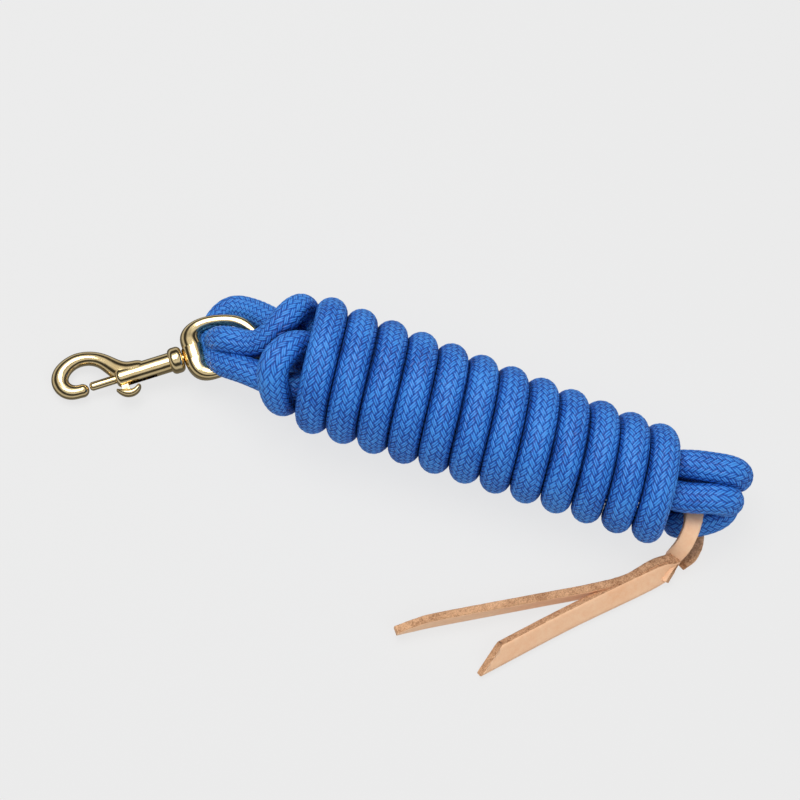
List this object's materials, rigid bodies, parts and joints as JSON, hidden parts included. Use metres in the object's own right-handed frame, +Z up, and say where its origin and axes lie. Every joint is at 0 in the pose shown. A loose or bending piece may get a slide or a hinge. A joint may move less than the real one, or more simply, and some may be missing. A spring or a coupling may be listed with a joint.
{
  "type": "lead rope",
  "caption": "Braided lead rope tied up as a hank, with a swivelling bolt snap at one end and a leather popper at the other.",
  "frame": {"origin": "bottom centre of the whole object's box, as it lies on the ground", "axes": "+X along the hank from the snap's end to the popper's end, +Z up, the popper lies on the -Y side"},
  "size_m": [0.3113, 0.1336, 0.0617],
  "materials": {
    "rope": "braided polyester",
    "brass": "polished",
    "spring_steel": "drawn wire",
    "leather": "natural vegetable tanned"
  },
  "bodies": {
    "rope": {"rope_wraps": "rope", "rope_eye_loop_upper": "rope", "rope_eye_loop_lower": "rope", "rope_start_turn": "rope", "rope_end_bight_upper": "rope", "rope_end_bight_lower": "rope", "rope_tail_loop": "rope", "swivel_eye": "brass", "popper_strap": "leather"},
    "snap": {"snap_body": "brass", "swivel_stud": "brass", "bolt_spring": "spring_steel"},
    "bolt": {"snap_bolt": "brass", "thumb_lug": "brass"}
  },
  "joints": [
    {"name": "snap_swivel", "type": "hinge", "parent": "rope", "child": "snap", "pos_m": [-0.10257, 0.02534, 0.01383], "axis": [0.8015, 0.5696, 0.1822], "continuous": true},
    {"name": "bolt_slide", "type": "slide", "parent": "snap", "child": "bolt", "axis": [0.8015, 0.5696, 0.1822], "range_m": [0, 0.012], "stiffness_N_per_m": 150, "springref_m": -0.004, "deforming": ["bolt_spring"]}
  ]
}
